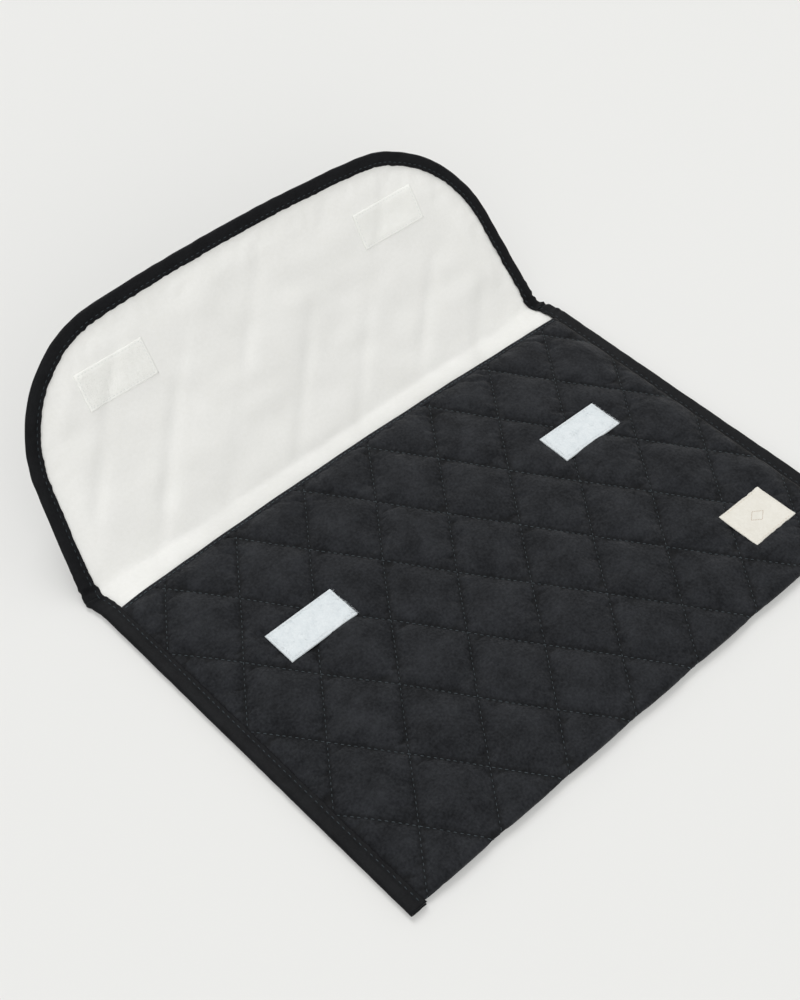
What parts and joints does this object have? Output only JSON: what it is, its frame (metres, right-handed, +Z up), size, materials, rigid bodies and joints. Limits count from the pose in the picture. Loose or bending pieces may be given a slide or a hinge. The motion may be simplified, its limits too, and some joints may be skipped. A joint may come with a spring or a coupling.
{
  "type": "quilted laptop sleeve",
  "caption": "Flat quilted fabric sleeve with bound edges, an open mouth and a rounded fold-over flap that closes with hook-and-loop patches.",
  "frame": {"origin": "centre of the body's underside, the flat outside of the back panel, with the sleeve lying on its back", "axes": "+X across the sleeve to its right, +Y from the bottom fold towards the flap, +Z up out of the front panel"},
  "size_m": [0.348, 0.3333, 0.1031],
  "materials": {
    "shell_fabric": "matt plain weave, quilted in diamonds",
    "batting": "soft polyester wadding, hidden",
    "lining_fabric": "smooth, faintly lustrous cream lining",
    "binding_tape": "matt folded binding tape with one stitch line",
    "loop_tape": "fuzzy loop pile, bluish white",
    "hook_tape": "cream hook tape",
    "label_fabric": "cream woven cotton"
  },
  "bodies": {
    "sleeve": {"back_shell": "shell_fabric", "back_batting": "batting", "back_lining": "lining_fabric", "front_shell": "shell_fabric", "front_batting": "batting", "front_lining": "lining_fabric", "bottom_fold_shell": "shell_fabric", "bottom_fold_batting": "batting", "bottom_fold_lining": "lining_fabric", "mouth_hem": "shell_fabric", "side_binding_left": "binding_tape", "side_binding_right": "binding_tape", "loop_patch_left": "loop_tape", "loop_patch_right": "loop_tape", "label": "label_fabric"},
    "flap": {"flap_shell": "shell_fabric", "flap_batting": "batting", "flap_lining": "lining_fabric", "flap_binding": "binding_tape", "hook_patch_left": "hook_tape", "hook_patch_right": "hook_tape"}
  },
  "joints": [
    {"name": "flap_fold", "type": "hinge", "parent": "sleeve", "child": "flap", "pos_m": [0, 0.117, 0.00865], "axis": [1, 0, 0], "range_deg": [-43, 131.5]}
  ]
}
